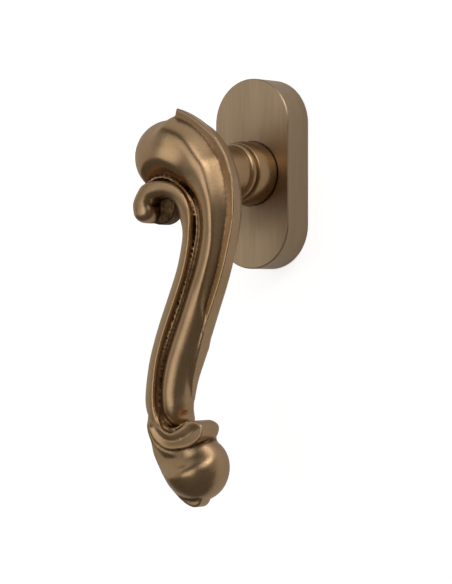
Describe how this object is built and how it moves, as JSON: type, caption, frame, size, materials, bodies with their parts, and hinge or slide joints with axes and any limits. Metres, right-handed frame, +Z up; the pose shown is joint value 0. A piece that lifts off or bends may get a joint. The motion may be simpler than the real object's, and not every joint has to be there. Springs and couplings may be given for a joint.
{
  "type": "tilt-and-turn window handle",
  "caption": "S-shaped ornamental bronze window handle on a slim obround rosette, with a click mechanism, a lift-off cover and a square spindle.",
  "frame": {"origin": "where the spindle's axis meets the plane that lies on the sash, in the middle of the rosette", "axes": "+Y into the sash along the spindle, -Y towards the room, +Z up; the closed lever hangs down along -Z"},
  "size_m": [0.0449, 0.094, 0.1553],
  "materials": {
    "antique_bronze": "satin antique bronze with dark patina in the grooves",
    "brushed_bronze_cover": "fine vertical brushing under satin bronze lacquer",
    "zinc_plated_steel": "bright zinc plate",
    "spring_steel": "oiled dark spring steel",
    "yellow_zinc_screws": "yellow passivated zinc",
    "die_cast_zinc": "bare tumbled die-cast zinc",
    "white_nylon": "natural nylon",
    "black_nylon": "black glass-filled nylon"
  },
  "bodies": {
    "rosette": {"base_plate": "die_cast_zinc", "bearing_bush": "white_nylon", "click_housing": "black_nylon", "back_plate": "zinc_plated_steel", "back_plate_screws": "zinc_plated_steel", "fixing_screws": "yellow_zinc_screws", "thrust_washer": "white_nylon", "upper_detent_spring": "spring_steel", "lower_detent_spring": "spring_steel", "right_cover_clip": "spring_steel", "left_cover_clip": "spring_steel"},
    "cover": {"rosette_cover": "brushed_bronze_cover"},
    "handle": {"lever": "antique_bronze", "neck_collar": "antique_bronze", "spindle": "zinc_plated_steel", "spindle_pin": "zinc_plated_steel", "click_disc": "zinc_plated_steel", "circlip": "spring_steel", "dished_washer": "spring_steel"},
    "upper_detent": {"upper_detent_pin": "zinc_plated_steel"},
    "lower_detent": {"lower_detent_pin": "zinc_plated_steel"}
  },
  "joints": [
    {"name": "lever_turn", "type": "hinge", "parent": "rosette", "child": "handle", "pos_m": [0, 0, 0], "axis": [0, 1, 0], "continuous": true},
    {"name": "cover_lift", "type": "slide", "parent": "rosette", "child": "cover", "axis": [0, -1, 0], "range_m": [0, 0.014]},
    {"name": "upper_detent_travel", "type": "slide", "parent": "rosette", "child": "upper_detent", "axis": [0, 0, 1], "range_m": [0, 0.0006], "stiffness_N_per_m": 1500, "deforming": ["upper_detent_spring"]},
    {"name": "lower_detent_travel", "type": "slide", "parent": "rosette", "child": "lower_detent", "axis": [0, 0, -1], "range_m": [0, 0.0006], "stiffness_N_per_m": 1500, "deforming": ["lower_detent_spring"]}
  ]
}
